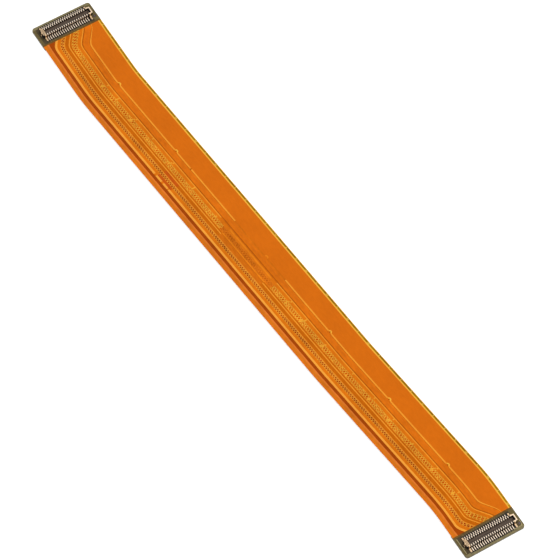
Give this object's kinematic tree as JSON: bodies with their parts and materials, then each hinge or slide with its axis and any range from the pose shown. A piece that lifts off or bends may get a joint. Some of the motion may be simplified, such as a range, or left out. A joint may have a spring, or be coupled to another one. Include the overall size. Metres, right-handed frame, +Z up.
{
  "type": "flexible printed circuit cable with board-to-board headers",
  "caption": "Flat amber flexible printed circuit strip with a stiffened end zone and a fine-pitch board-to-board header at each end.",
  "frame": {"origin": "under the middle of the strip, on the plane of the stiffeners' undersides that it lies on", "axes": "+X along the strip from end A to end B, +Y across it, +Z up, out of the face that carries the headers"},
  "size_m": [0.12, 0.0198, 0.0013],
  "materials": {
    "polyimide_film": "smooth",
    "amber_coverlay": "satin",
    "copper_foil": "satin",
    "solder_mask": "satin",
    "gold_plating": "polished",
    "solder": "satin",
    "stiffener_laminate": "matte",
    "adhesive_film": "matte",
    "housing_plastic": "matte"
  },
  "bodies": {
    "root": {"base_film": "polyimide_film", "top_copper": "copper_foil", "bottom_copper": "copper_foil", "plated_vias": "copper_foil", "top_coverlay": "amber_coverlay", "bottom_coverlay": "amber_coverlay", "solder_mask_a": "solder_mask", "contact_pads_a": "gold_plating", "solder_joints_a": "solder", "stiffener_a": "stiffener_laminate", "stiffener_adhesive_a": "adhesive_film", "header_housing_a": "housing_plastic", "left_contacts_a": "gold_plating", "right_contacts_a": "gold_plating", "plate_hold_down_a": "gold_plating", "loop_hold_down_a": "gold_plating", "solder_mask_b": "solder_mask", "contact_pads_b": "gold_plating", "solder_joints_b": "solder", "stiffener_b": "stiffener_laminate", "stiffener_adhesive_b": "adhesive_film", "header_housing_b": "housing_plastic", "left_contacts_b": "gold_plating", "right_contacts_b": "gold_plating", "plate_hold_down_b": "gold_plating", "loop_hold_down_b": "gold_plating"}
  },
  "joints": []
}
